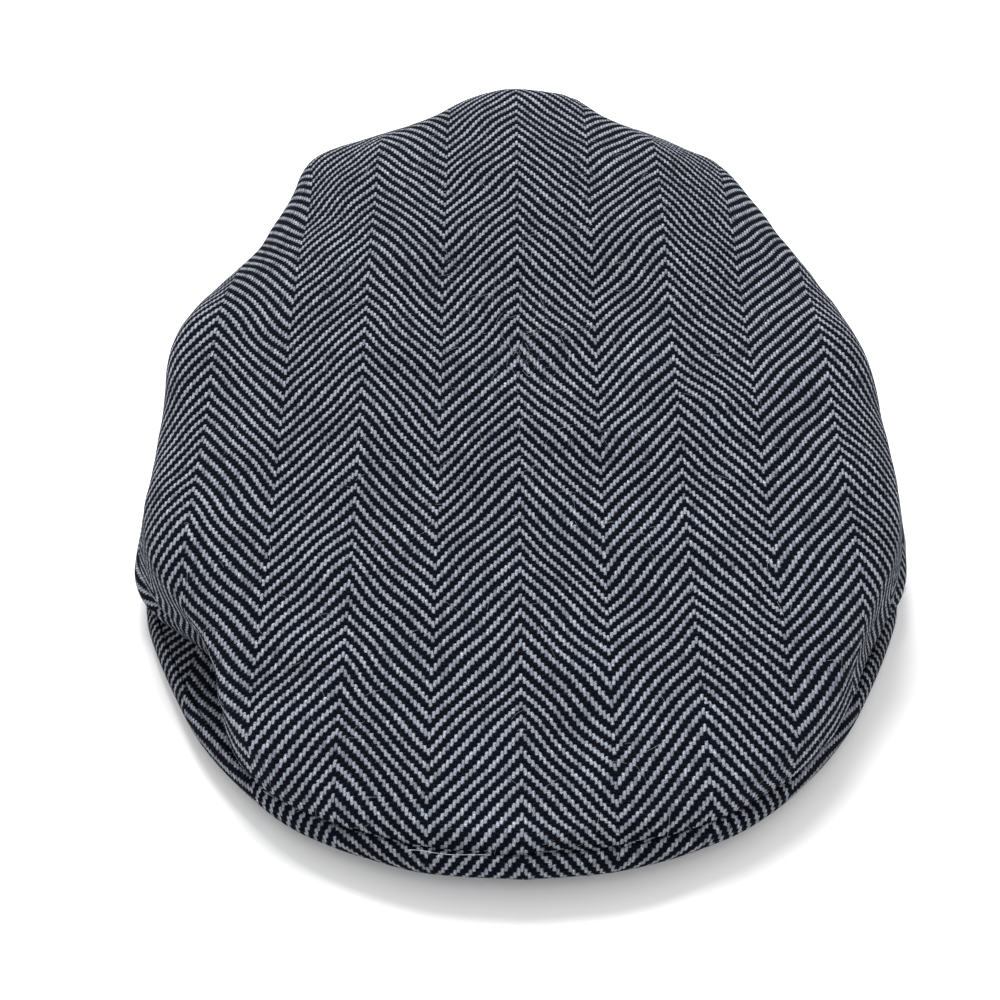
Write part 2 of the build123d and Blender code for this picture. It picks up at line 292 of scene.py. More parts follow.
class Shader:
    """A small helper that adds nodes and links them by name."""

    def __init__(self, name):
        self.material = bpy.data.materials.new(name)
        self.material.use_nodes = True
        self.tree = self.material.node_tree
        self.tree.nodes.clear()
        self.output = self.tree.nodes.new("ShaderNodeOutputMaterial")
        self.surface = self.tree.nodes.new("ShaderNodeBsdfPrincipled")
        self.tree.links.new(self.surface.outputs[0], self.output.inputs[0])

    def put(self, socket, value):
        if isinstance(value, bpy.types.NodeSocket):
            self.tree.links.new(value, socket)
        elif isinstance(value, tuple) and len(value) == 3 and socket.type == "RGBA":
            socket.default_value = (*value, 1.0)
        else:
            socket.default_value = value

    def math(self, operation, *values, clamp=False):
        node = self.tree.nodes.new("ShaderNodeMath")
        node.operation = operation
        node.use_clamp = clamp
        for socket, value in zip(node.inputs, values):
            self.put(socket, value)
        return node.outputs[0]

    def vector(self, x, y, z=0.0):
        node = self.tree.nodes.new("ShaderNodeCombineXYZ")
        for socket, value in zip(node.inputs, (x, y, z)):
            self.put(socket, value)
        return node.outputs[0]

    def uv(self):
        node = self.tree.nodes.new("ShaderNodeUVMap")
        node.uv_map = "cloth"
        split = self.tree.nodes.new("ShaderNodeSeparateXYZ")
        self.put(split.inputs[0], node.outputs[0])
        return node.outputs[0], split.outputs[0], split.outputs[1]

    def position(self):
        node = self.tree.nodes.new("ShaderNodeTexCoord")
        return node.outputs["Object"]

    def noise(self, vector, scale, detail=2.0, rough=0.5):
        node = self.tree.nodes.new("ShaderNodeTexNoise")
        self.put(node.inputs["Vector"], vector)
        node.inputs["Scale"].default_value = scale
        node.inputs["Detail"].default_value = detail
        node.inputs["Roughness"].default_value = rough
        return node.outputs[0]

    def ramp(self, value, low, high, to_low=0.0, to_high=1.0):
        node = self.tree.nodes.new("ShaderNodeMapRange")
        node.interpolation_type = "SMOOTHSTEP"
        for name, item in (("Value", value), ("From Min", low), ("From Max", high),
                           ("To Min", to_low), ("To Max", to_high)):
            self.put(node.inputs[name], item)
        return node.outputs[0]

    def mix(self, factor, a, b):
        node = self.tree.nodes.new("ShaderNodeMix")
        node.data_type = "RGBA"
        self.put(node.inputs[0], factor)
        self.put(node.inputs[6], a)
        self.put(node.inputs[7], b)
        return node.outputs[2]

    def bump(self, height, distance, strength=1.0, normal=None):
        node = self.tree.nodes.new("ShaderNodeBump")
        node.inputs["Strength"].default_value = strength
        node.inputs["Distance"].default_value = distance
        self.put(node.inputs["Height"], height)
        if normal is not None:
            self.put(node.inputs["Normal"], normal)
        return node.outputs[0]

    def set(self, **inputs):
        for name, value in inputs.items():
            self.put(self.surface.inputs[name.replace("_", " ").title()], value)


COLUMN_W = 20.5                       # one herringbone column
WARPS_IN_COLUMN = 24
WARP_W = COLUMN_W / WARPS_IN_COLUMN
PICK_H = 1.0
TWILL_REPEAT = 4                      # yarns in one twill line and its gap

LIGHT_SHARE = 0.48                    # of each twill line's width

DARK_YARN = (0.0015, 0.002, 0.0055)
LIGHT_YARN = (0.42, 0.455, 0.53)
GREY_YARN = (0.11, 0.12, 0.15)
FLECK_YARN = (0.80, 0.83, 0.92)


def tweed(name, brightness=1.0):
    """Black and grey herringbone wool, woven yarn by yarn from the cloth coordinates."""
    s = Shader(name)
    uv, u, v = s.uv()
    wander = s.noise(uv, 0.035, 1.0)
    wobble = s.noise(uv, 1.3, 2.0, 0.6)
    u = s.math("ADD", u, s.math("MULTIPLY", s.math("SUBTRACT", wobble, 0.5), 0.6))
    v = s.math("ADD", v, s.math("MULTIPLY", s.math("SUBTRACT", wander, 0.5), 7.0))
    v = s.math("ADD", v, s.math("MULTIPLY", s.math("SUBTRACT", wobble, 0.5), 0.9))
    column = s.math("FLOOR", s.math("DIVIDE", u, COLUMN_W))
    odd = s.math("FLOORED_MODULO", column, 2.0)
    lean = s.math("MULTIPLY_ADD", odd, -2.0, 1.0)
    warp = s.math("DIVIDE", u, WARP_W)
    warp_in_column = s.math("SUBTRACT", s.math("FLOOR", warp),
                            s.math("MULTIPLY", column, float(WARPS_IN_COLUMN)))
    across = s.math("SUBTRACT", s.math("FRACT", warp), 0.5)
    climb = s.math("DIVIDE", s.math("MULTIPLY", lean, warp_in_column), float(TWILL_REPEAT))
    rise = s.math("DIVIDE", v, PICK_H * TWILL_REPEAT)
    phase = s.math("FRACT", s.math("ADD", s.math("ADD", rise, climb),
                                   s.math("MULTIPLY", odd, 0.5)))
    on_top = s.math("LESS_THAN", phase, LIGHT_SHARE)
    length = s.math("DIVIDE", phase, LIGHT_SHARE)
    swell = s.math("SINE", s.math("MULTIPLY", length, math.pi), clamp=True)
    bead_long = s.math("POWER", swell, 0.6)
    slant = s.math("MULTIPLY", s.math("MULTIPLY", s.math("SUBTRACT", length, 0.5), lean), -0.3)
    bead_wide = s.math("COSINE", s.math("MULTIPLY", s.math("SUBTRACT", across, slant), math.pi),
                       clamp=True)
    cell = s.tree.nodes.new("ShaderNodeTexWhiteNoise")
    cell.noise_dimensions = "2D"
    s.put(cell.inputs["Vector"], s.vector(s.math("FLOOR", warp),
                                          s.math("FLOOR", s.math("ADD", rise, climb))))
    each = cell.outputs["Value"]
    bead = s.math("MULTIPLY", bead_long, bead_wide)
    pick = s.math("SUBTRACT", s.math("FRACT", s.math("DIVIDE", v, PICK_H)), 0.5)
    weft = s.math("MULTIPLY", s.math("COSINE", s.math("MULTIPLY", pick, math.pi), clamp=True), 0.55)

    fibre = s.noise(uv, 4.0, 4.0, 0.75)
    fleck = s.noise(uv, 1.4, 2.0, 0.6)
    patch = s.noise(uv, 0.05, 3.0)
    light = s.mix(s.math("MULTIPLY", s.ramp(fleck, 0.48, 0.66), s.ramp(each, 0.2, 1.0)),
                  LIGHT_YARN, FLECK_YARN)
    light = s.mix(s.ramp(each, 0.45, 0.0, 0.0, 0.45), light, GREY_YARN)
    light = s.mix(s.ramp(fibre, 0.6, 0.38, 0.0, 0.8), light, (0.05, 0.055, 0.075))
    # Each light float fades to the dark yarn toward its ends and sides: partly the dark yarn
    # between floats, partly painted shade on the round yarn.
    shade = s.ramp(bead, 0.0, 0.5, 0.08, 1.0)
    light = s.mix(shade, DARK_YARN, light)
    dark = s.mix(s.ramp(fibre, 0.55, 0.78, 0.0, 0.24), DARK_YARN, LIGHT_YARN)
    colour = s.mix(on_top, dark, light)
    # A brightness below 1 darkens the whole cloth, as for the visor: painted shade.
    level = s.ramp(patch, 0.3, 0.7, 0.86 * brightness, 1.08 * brightness)
    tone = s.tree.nodes.new("ShaderNodeHueSaturation")
    s.put(tone.inputs["Value"], level)
    s.put(tone.inputs["Color"], colour)

    height = s.math("ADD", s.math("MULTIPLY", on_top, bead),
                    s.math("MULTIPLY", s.math("SUBTRACT", 1.0, on_top), weft))
    height = s.math("ADD", height, s.math("MULTIPLY", fibre, 0.5))
    s.set(base_color=tone.outputs[0], roughness=s.ramp(fibre, 0.3, 0.7, 0.78, 0.98))
    s.put(s.surface.inputs["Normal"], s.bump(height, 0.0005, 0.9))
    s.surface.inputs["Sheen Weight"].default_value = 0.006
    s.surface.inputs["Sheen Roughness"].default_value = 0.5
    s.surface.inputs["Specular IOR Level"].default_value = 0.03
    return s.material


def satin(name, colour, deep):
    """Lining satin: fine twill, soft sheen, slightly uneven."""
    s = Shader(name)
    uv, u, v = s.uv()
    twill = s.math("ADD", u, s.math("MULTIPLY", v, 0.5))
    weave = s.math("SINE", s.math("MULTIPLY", twill, 16.0))
    slub = s.noise(s.vector(s.math("MULTIPLY", u, 0.2), s.math("MULTIPLY", v, 3.0)), 1.0, 3.0)
    patch = s.noise(uv, 0.06, 3.0)
    s.set(base_color=s.mix(s.ramp(s.math("ADD", slub, s.math("MULTIPLY", patch, 0.6)), 0.5, 1.1),
                           deep, colour),
          roughness=s.ramp(slub, 0.3, 0.7, 0.3, 0.44))
    height = s.math("ADD", s.math("MULTIPLY", weave, 0.5), s.math("MULTIPLY", slub, 1.5))
    s.put(s.surface.inputs["Normal"], s.bump(height, 0.00008, 0.6))
    s.surface.inputs["Sheen Weight"].default_value = 0.25
    s.surface.inputs["Anisotropic"].default_value = 0.4
    return s.material


def ribbon(name, colour, highlight, rib=0.9, roughness=0.55):
    """Grosgrain or twill tape with fine cross ribs."""
    s = Shader(name)
    uv, u, v = s.uv()
    ribs = s.math("ABSOLUTE", s.math("SINE", s.math("MULTIPLY", u, math.pi / rib)))
    yarn = s.math("ABSOLUTE", s.math("SINE", s.math("MULTIPLY", v, math.pi / 0.35)))
    fuzz = s.noise(uv, 2.5, 3.0, 0.6)
    height = s.math("ADD", ribs, s.math("MULTIPLY", yarn, 0.3))
    # Rib tops are painted toward the highlight colour and the grooves darker: painted highlight and
    # shade from the relief, mixed with random fuzz.
    shade = s.math("ADD", s.math("MULTIPLY", height, 0.5), s.math("MULTIPLY", fuzz, 0.5))
    s.set(base_color=s.mix(s.ramp(shade, 0.2, 1.0), colour, highlight),
          roughness=s.ramp(fuzz, 0.3, 0.7, roughness - 0.1, roughness + 0.15))
    s.put(s.surface.inputs["Normal"], s.bump(height, 0.00015, 0.7))
    s.surface.inputs["Sheen Weight"].default_value = 0.2
    return s.material


def plain_thread(name, colour):
    """Twisted thread or a single wool fibre."""
    s = Shader(name)
    twist = s.noise(s.position(), 3000.0, 2.0)
    # Where the twist noise rises, the thread is painted in the lighter lit colour: painted
    # highlight along the twist.
    lit = tuple(min(1, c * 1.8 + 0.02) for c in colour)
    s.set(base_color=s.mix(s.ramp(twist, 0.35, 0.65), colour, lit),
          roughness=s.ramp(twist, 0.3, 0.7, 0.55, 0.85))
    s.put(s.surface.inputs["Normal"], s.bump(twist, 0.0001, 0.6))
    return s.material


def moulded_board(name):
    """Pale moulded plastic, faintly grained."""
    s = Shader(name)
    grain = s.noise(s.position(), 420.0, 4.0, 0.6)
    cloud = s.noise(s.position(), 30.0, 2.0)
    s.set(base_color=s.mix(s.ramp(cloud, 0.35, 0.65), (0.62, 0.61, 0.57), (0.74, 0.73, 0.69)),
          roughness=s.ramp(grain, 0.3, 0.7, 0.45, 0.65))
    s.put(s.surface.inputs["Normal"], s.bump(grain, 0.0001, 0.5))
    return s.material


TWEED = tweed("herringbone_tweed")
# The visor wears the same tweed, darkened to 0.85 of the crown's brightness: painted shade.
TWEED_VISOR_PAINTED_SHADE = tweed("herringbone_tweed_visor_painted_shade", 0.85)
LINING_SATIN = satin("burgundy_satin", (0.30, 0.03, 0.055), (0.13, 0.01, 0.02))
BAND_RIBBON = ribbon("black_band", (0.008, 0.008, 0.01), (0.05, 0.05, 0.055), 0.8)
BOW_RIBBON = ribbon("black_bow", (0.006, 0.006, 0.008), (0.07, 0.07, 0.08), 0.5, 0.4)
LABEL_CLOTH = ribbon("blank_label", (0.5, 0.48, 0.42), (0.75, 0.73, 0.66), 0.5, 0.5)
TAPE = ribbon("black_tape", (0.01, 0.01, 0.012), (0.05, 0.05, 0.055), 0.6)
THREAD = plain_thread("sewing_thread", (0.02, 0.02, 0.025))
PALE_THREAD = plain_thread("pale_thread", (0.26, 0.27, 0.3))
FUZZ_GREY = plain_thread("wool_fibre", (0.16, 0.165, 0.18))
BOARD = moulded_board("visor_board_plastic")
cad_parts["visor_board"].data.materials.clear()
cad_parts["visor_board"].data.materials.append(BOARD)

# ================================================================ crown panels

PANEL_T = 1.6
SIDE_CLOTH_TURN = 38.0                # degrees


def crown_panels():
    """The tweed top and side panels, cut apart along the seam, each with its own thickness."""
    points, normals, cloth = sculpted_crown()
    rows, around = points.shape[:2]
    flat = points.reshape(-1, 3)
    flat_normals = normals.reshape(-1, 3)
    above = (flat - SEAM_FRONT) @ SEAM_NORMAL
    behind = np.clip((flat[:, 1] + 56) / 10, 0, 1)
    seam_depth = 1.7 * np.exp(-(above / 2.4) ** 2) * behind
    # The centre-back seam runs down the side panels and nips the crown's back edge
    back = (flat[:, 1] > 60) & (above < 0)
    seam_depth += np.where(back, 1.5 * np.exp(-(flat[:, 0] / 2.2) ** 2) * (above < -1), 0)
    grooved = flat - flat_normals * seam_depth[:, None]
    faces = grid_faces(rows, around)
    uv = cloth.reshape(-1, 2)

    top = make_object("top_panel_tweed", grooved, faces, TWEED, uv)
    cut(top, SEAM_FRONT, SEAM_NORMAL, keep_above=True)
    apply_modifier(top, "SOLIDIFY", thickness=PANEL_T * MM, offset=-1.0)
    finish_piece(top, "tweed", "top_panel")

    # The side panels' cloth is turned, so that its twill stands nearly upright at the front
    turn = math.radians(SIDE_CLOTH_TURN)
    around_steps = np.diff(points, axis=1, append=points[:, :1])
    around_length = np.cumsum(np.linalg.norm(around_steps, axis=2), axis=1)
    up_steps = np.diff(points, axis=0, prepend=points[:1])
    up_length = np.cumsum(np.linalg.norm(up_steps, axis=2), axis=0)
    quarter = around_length - around_length[:, around // 4][:, None]
    side_uv = np.stack([
        quarter * math.cos(turn) - up_length * math.sin(turn),
        quarter * math.sin(turn) + up_length * math.cos(turn),
    ], axis=-1).reshape(-1, 2)
    for name, sign in (("left", 1), ("right", -1)):
        panel = make_object(f"side_panel_{name}_tweed", grooved, faces, TWEED, side_uv)
        cut(panel, SEAM_FRONT, SEAM_NORMAL, keep_above=False)
        cut(panel, (0, 0, 0), (sign, 0, 0), keep_above=True)
        cut(panel, (0, -86, 0), (0, 1, 0), keep_above=True)
        apply_modifier(panel, "SOLIDIFY", thickness=PANEL_T * MM, offset=-1.0)
        resting = points_of(panel)
        resting[:, 2] = np.maximum(resting[:, 2], 0.0)
        set_points(panel, resting)
        finish_piece(panel, "tweed", f"side_panel_{name}")


crown_panels()

# ================================================================ visor

VISOR_EDGE = np.array([
    (0, -126), (20, -123.9), (37, -118.3), (52, -110.2), (65, -98), (77, -82.9), (86.5, -66),
    (94, -50.5), (98.8, -38.0), (99.5, -28), (90, -18),
], float)
HEM_HALF_W, HEM_FRONT, HEM_WIDEST = 88.8, -82.8, 17.0


def visor_lines(count):
    """The visor's outer edge and its back edge, from the right horn round to the left."""
    right = catmull(VISOR_EDGE, count // 2 + 1)
    outer = np.vstack([right[::-1] * [-1, 1], right[1:]])
    reach = HEM_WIDEST - HEM_FRONT
    tip = math.acos(np.clip((HEM_WIDEST + 18.0) / reach, -1, 1))
    angle = np.linspace(-tip, tip, len(outer))
    inner = np.stack([HEM_HALF_W * np.sin(angle), HEM_WIDEST - reach * np.cos(angle)], axis=-1)
    return outer, inner


def visor_piece(name, profile, material, slot, node, samples=320):
    """profile: (share of the way out, mm past the edge, height, cloth past the edge) points."""
    outer, inner = visor_lines(samples)
    along = np.gradient(outer, axis=0)
    outward = np.stack([along[:, 1], -along[:, 0]], axis=-1)
    outward /= np.linalg.norm(outward, axis=1, keepdims=True)
    vertices, uvs = [], []
    for share, past, height, wrap in profile:
        ground = inner + (outer - inner) * share + outward * past
        z = VISOR_MID_Z - ground[:, 0] ** 2 / (2 * VISOR_ARCH_R) + height
        ring = np.column_stack([ground, z])
        vertices.append(ring)
        cloth = inner + (outer - inner) * share + outward * wrap
        uvs.append(cloth)
    count = len(outer)
    rows = len(profile)
    grid = np.array(vertices)
    wave = 0.35 * ripples(grid, 26, 11, 3)
    grid[..., 2] += wave * np.clip(np.linspace(0, 2, rows), 0, 1)[:, None]
    faces = grid_faces(rows, count, closed=False)
    piece = make_object(name, grid.reshape(-1, 3), faces, material, np.array(uvs).reshape(-1, 2))
    apply_modifier(piece, "SOLIDIFY", thickness=1.3 * MM, offset=1.0)
    finish_piece(piece, slot, node)
    return piece


RIM_R = VISOR_HALF_T
RIM_STEPS = 12
FLAT_STEPS = 14
ROLL_IN = 2.8                          # the rim's roll starts this far inside the edge


def rim_profile():
    """The half round of the rim, from the top of the visor to its underside."""
    points = []
    for k in range(RIM_STEPS + 1):
        a = math.pi / 2 - math.pi * k / RIM_STEPS
        points.append((1.0, -ROLL_IN + ROLL_IN * math.cos(a), RIM_R * math.sin(a),
                       -ROLL_IN + RIM_R * (math.pi / 2 - a)))
    return points


def flat_profile():
    """The flat part from the back edge to where the rim's roll starts."""
    points = []
    for k in range(FLAT_STEPS):
        share = k / FLAT_STEPS
        points.append((share, -ROLL_IN * share, RIM_R, -ROLL_IN * share))
    return points


upper = flat_profile()
upper.append((1.0, -ROLL_IN - 0.5, RIM_R, -ROLL_IN - 0.5))
upper.append((1.0, -ROLL_IN - 0.1, RIM_R - 0.8, -ROLL_IN + 0.4))
visor_piece("visor_upper_tweed", upper, TWEED_VISOR_PAINTED_SHADE, "tweed_under", "visor_upper_cover")
under = [(1.0, -ROLL_IN + 0.1, RIM_R - 0.9, -ROLL_IN - 0.6)] + rim_profile()
for share, past, height, wrap in flat_profile()[::-1]:
    under.append((share, past, -height, 2 * RIM_R * 1.57 - wrap - 2 * ROLL_IN))
visor_piece("visor_under_tweed", under, TWEED_VISOR_PAINTED_SHADE, "tweed_under", "visor_under_cover")

# ================================================================ lining


def lining_pieces():
    """The satin lining: its top and both sides, loosely wavy, sunk where the crown sinks."""
    grid = crown_grid(LINING, 120, 260)
    normal = grid_normals(grid)
    relief = 0.8 * ripples(grid, 34, 21) + 0.4 * ripples(grid, 12, 22)
    relief = relief * np.clip(grid[..., 2] / 20, 0, 1) - 0.8 - 1.25 * back_hollows(grid)
    relief += bump(grid, (0, 9, 60), (42, 36, 30), 1.0) * (1 - relief)
    points = grid + normal * relief[..., None]
    points[..., 2] = np.maximum(points[..., 2], 0.4)
    cloth = cloth_coordinates(grid).reshape(-1, 2)
    flat = points.reshape(-1, 3)
    above = (flat - SEAM_FRONT) @ SEAM_NORMAL
    inward = 1.0 * np.exp(-(above / 1.8) ** 2)
    flat = flat - normal.reshape(-1, 3) * inward[:, None]
    faces = grid_faces(120, 260)
    top = make_object("lining_top_satin", flat, faces, LINING_SATIN, cloth)
    cut(top, SEAM_FRONT, SEAM_NORMAL, keep_above=True)
    apply_modifier(top, "SOLIDIFY", thickness=0.6 * MM, offset=-1.0)
    finish_piece(top, "lining", "lining_top")
    for name, sign in (("left", 1), ("right", -1)):
        side = make_object(f"lining_side_{name}_satin", flat, faces, LINING_SATIN, cloth)
        cut(side, SEAM_FRONT, SEAM_NORMAL, keep_above=False)
        cut(side, (0, 0, 0), (sign, 0, 0), keep_above=True)
        apply_modifier(side, "SOLIDIFY", thickness=0.6 * MM, offset=-1.0)
        finish_piece(side, "lining", f"lining_side_{name}")


lining_pieces()

# ================================================================ sweatband, bow and labels

BAND_INSET = 4.6
BAND_LOW, BAND_HIGH = 0.8, 25.2
ELASTIC_HALF_W = 36.0
BAND_JOINT = 0.004                    # radians between the ribbon and the elastic
# The hem's oval, reaching back and forward from its widest place
OVAL_HALF_W, OVAL_BACK_REACH, OVAL_FRONT_REACH = 88.0, 103.0, 99.0


def band_point(angle, inset):
    """A point of the hem's oval; angle 0 is the centre back."""
    half = OVAL_HALF_W - inset
    reach = (OVAL_BACK_REACH if math.cos(angle) > 0 else OVAL_FRONT_REACH) - inset
    return np.array([half * math.sin(angle), HEM_WIDEST + reach * math.cos(angle)])


def band_strip(name, start, end, gather, material, slot, node, steps):
    """A stretch of the sweatband between two angles; gather is the crimp's height."""
    profile = [(0.0, BAND_LOW + 0.3), (0.55, BAND_LOW), (1.1, BAND_LOW + 0.4), (1.2, 4.0),
               (1.2, 12.0), (1.2, 22.0), (1.1, BAND_HIGH - 0.4), (0.55, BAND_HIGH),
               (0.0, BAND_HIGH - 0.3), (0.0, 13.0)]
    vertices, uvs = [], []
    angles = np.linspace(start, end, steps)
    length = 0.0
    last = band_point(angles[0], BAND_INSET)
    for angle in angles:
        here = band_point(angle, BAND_INSET)
        length += float(np.linalg.norm(here - last))
        last = here
        for depth, z in profile:
            crimp = gather * math.sin(length * 1.9 + 0.8 * math.sin(length * 0.37)) * (depth / 1.2)
            slack = 0.25 * math.sin(length * 0.11) * math.sin(z * 0.14)
            point = band_point(angle, BAND_INSET + depth + crimp + max(slack, 0))
            vertices.append((point[0], point[1], z))
            uvs.append((length, z + depth))
    around = len(profile)
    faces = []
    for i in range(steps - 1):
        for j in range(around):
            k = (j + 1) % around
            faces.append((i * around + j, (i + 1) * around + j,
                          (i + 1) * around + k, i * around + k))
    faces.append(tuple(range(around)))
    faces.append(tuple((steps - 1) * around + j for j in reversed(range(around))))
    piece = make_object(name, vertices, faces, material, uvs)
    finish_piece(piece, slot, node)


elastic_angle = math.asin(ELASTIC_HALF_W / (OVAL_HALF_W - BAND_INSET))
band_strip("sweatband_front_ribbon", elastic_angle + BAND_JOINT,
           2 * math.pi - elastic_angle - BAND_JOINT, 0.0, BAND_RIBBON,
           "sweatband", "sweatband_front", 640)
band_strip("sweatband_back_elastic", -elastic_angle, elastic_angle, 0.28, BAND_RIBBON,
           "sweatband", "sweatband_back", 300)


def tube(path, radius, sides=6):
    """Vertices and faces of a closed tube along a list of points, in mm."""
    path = np.asarray(path, float)
    ahead = np.gradient(path, axis=0)
    ahead /= np.maximum(np.linalg.norm(ahead, axis=1, keepdims=True), 1e-9)
    helper = np.array([0.0, 0.0, 1.0]) if abs(ahead[0, 2]) < 0.8 else np.array([1.0, 0.0, 0.0])
    side = np.cross(ahead, helper)
    side /= np.maximum(np.linalg.norm(side, axis=1, keepdims=True), 1e-9)
    other = np.cross(side, ahead)
    vertices = []
    count = len(path)
    for i, point in enumerate(path):
        for k in range(sides):
            a = 2 * math.pi * k / sides
            vertices.append(point + radius * (math.cos(a) * side[i] + math.sin(a) * other[i]))
    faces = []
    for i in range(count - 1):
        for k in range(sides):
            m = (k + 1) % sides
            faces.append((i * sides + k, i * sides + m,
                          (i + 1) * sides + m, (i + 1) * sides + k))
    faces.append(tuple(reversed(range(sides))))
    faces.append(tuple((count - 1) * sides + k for k in range(sides)))
    return vertices, faces


def gather_tubes(name, tubes, material, slot):
    """Many small closed tubes as one piece."""
    vertices, faces = [], []
    for part_vertices, part_faces in tubes:
        offset = len(vertices)
        vertices.extend(part_vertices)
        faces.extend(tuple(index + offset for index in face) for face in part_faces)
    piece = make_object(name, vertices, faces, material)
    finish_piece(piece, slot)
    return piece


def wool_fuzz(points, normals, count):
    """Stray wool fibres lying over the tweed and standing a little out of it."""
    tubes = []
    for index in rng.integers(0, len(points), count):
        start = points[index]
        if start[2] < 3:
            continue
        out = normals[index]
        heading = rng.normal(size=3)
        heading -= out * (heading @ out)
        heading /= np.linalg.norm(heading)
        sideways = np.cross(out, heading)
        length = rng.uniform(1.5, 5.0)
        lift = rng.uniform(0.15, 0.9)
        bend = rng.uniform(-1.2, 1.2)
        t = np.linspace(0, 1, 6)
        rise = lift * np.sin(t * rng.uniform(1.6, 3.0)) + 0.02
        tubes.append(tube(start + np.outer(length * t, heading) + np.outer(rise, out)
                          + np.outer(bend * t**2, sideways), rng.uniform(0.03, 0.05), 3))
    gather_tubes("wool_fuzz", tubes, FUZZ_GREY, "tweed")


def loose_thread():
    """The pale thread lying along the visor seam at the front."""
    t = np.linspace(0, 1, 30)
    x = -25 + 18 * t
    y = -123.6 + 0.0030 * x**2 + 0.25 * np.sin(7 * t)
    z = 12.7 + 0.25 * np.sin(9 * t + 1) - 0.0006 * x**2
    gather_tubes("loose_thread", [tube(np.column_stack([x, y, z]), 0.06, 6)], PALE_THREAD, "tweed")


crown_points, crown_normals, _ = sculpted_crown()
wool_fuzz(crown_points.reshape(-1, 3), crown_normals.reshape(-1, 3), 500)
loose_thread()


def strap(centre_line, width_axis, widths, thickness):
    """A closed flat ribbon along a line, in mm: its vertices, faces and cloth coordinates."""
    line = np.asarray(centre_line, float)
    ahead = np.gradient(line, axis=0)
    ahead /= np.linalg.norm(ahead, axis=1, keepdims=True)
    wide = np.asarray(width_axis, float)
    thick = np.cross(ahead, wide)
    thick /= np.maximum(np.linalg.norm(thick, axis=1, keepdims=True), 1e-9)
    vertices, uvs = [], []
    run = np.concatenate([[0], np.cumsum(np.linalg.norm(np.diff(line, axis=0), axis=1))])
    steps = 8
    for i, point in enumerate(line):
        for side_sign in (1, -1):
            for k in range(steps + 1):
                across = (k / steps - 0.5) * widths[i] * side_sign
                vertices.append(point + wide * across + thick[i] * side_sign * thickness / 2)
                uvs.append((run[i], across))
    around = 2 * (steps + 1)
    faces = []
    for i in range(len(line) - 1):
        for j in range(around):
            k = (j + 1) % around
            faces.append((i * around + j, i * around + k,
                          (i + 1) * around + k, (i + 1) * around + j))
    faces.append(tuple(reversed(range(around))))
    faces.append(tuple((len(line) - 1) * around + j for j in range(around)))
    return vertices, faces, uvs


def bow():
    """The ribbon bow: two loops and a knot, at the centre back of the band."""
    low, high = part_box("sweatband_bow")
    centre = (np.array(low) + np.array(high)) / 2 / MM
    half = (high.x - low.x) / 2 / MM
    back_y = high.y / MM
    vertices, faces, uvs = [], [], []
    for sign in (-1, 1):
        t = np.linspace(0, 1, 40)
        swing = np.sin(math.pi * t)
        x = centre[0] + sign * half * 0.98 * np.sin(math.pi * t) ** 0.7
        y = back_y - 0.9 - 2.0 * t + 0.8 * swing * (t - 0.5)
        z = centre[2] + 1.2 * np.sin(2 * math.pi * t)
        line = np.column_stack([x, y, z])
        widths = 3.2 + 5.4 * swing
        part_vertices, part_faces, part_uvs = strap(line, (0, 0, 1), widths, 0.5)
        offset = len(vertices)
        vertices += part_vertices
        faces += [tuple(i + offset for i in face) for face in part_faces]
        uvs += part_uvs

    # The knot: a short pinched cylinder of rings round the middle
    ring_count = 28
    angle = np.linspace(0, 2 * math.pi, ring_count + 1)[:-1]
    middle = np.array([centre[0], back_y - 1.8])
    knot = np.column_stack([2.3 * np.cos(angle), 1.5 * np.sin(angle)])
    heights = ((-3.2, 0.8), (-2.6, 1.0), (0, 0.9), (2.6, 1.0), (3.2, 0.8))
    offset = len(vertices)
    for row, (z, swell) in enumerate(heights):
        for k, point in enumerate(knot * swell + middle):
            vertices.append(np.array([point[0], point[1], centre[2] + z]))
            uvs.append((row * 1.5, k * 0.5))
    for i in range(len(heights) - 1):
        low_ring = offset + i * ring_count
        for k in range(ring_count):
            m = (k + 1) % ring_count
            faces.append((low_ring + k, low_ring + m,
                          low_ring + ring_count + m, low_ring + ring_count + k))
    faces.append(tuple(offset + k for k in reversed(range(ring_count))))
    faces.append(tuple(low_ring + ring_count + k for k in range(ring_count)))
    piece = make_object("bow_ribbon", vertices, faces, BOW_RIBBON, uvs)
    finish_piece(piece, "ribbon", "sweatband_bow")


bow()


LABEL_W, LABEL_L, LABEL_T = 46.0, 28.0, 0.55
LABEL_DROP = 1.9                      # below the lining's own surface


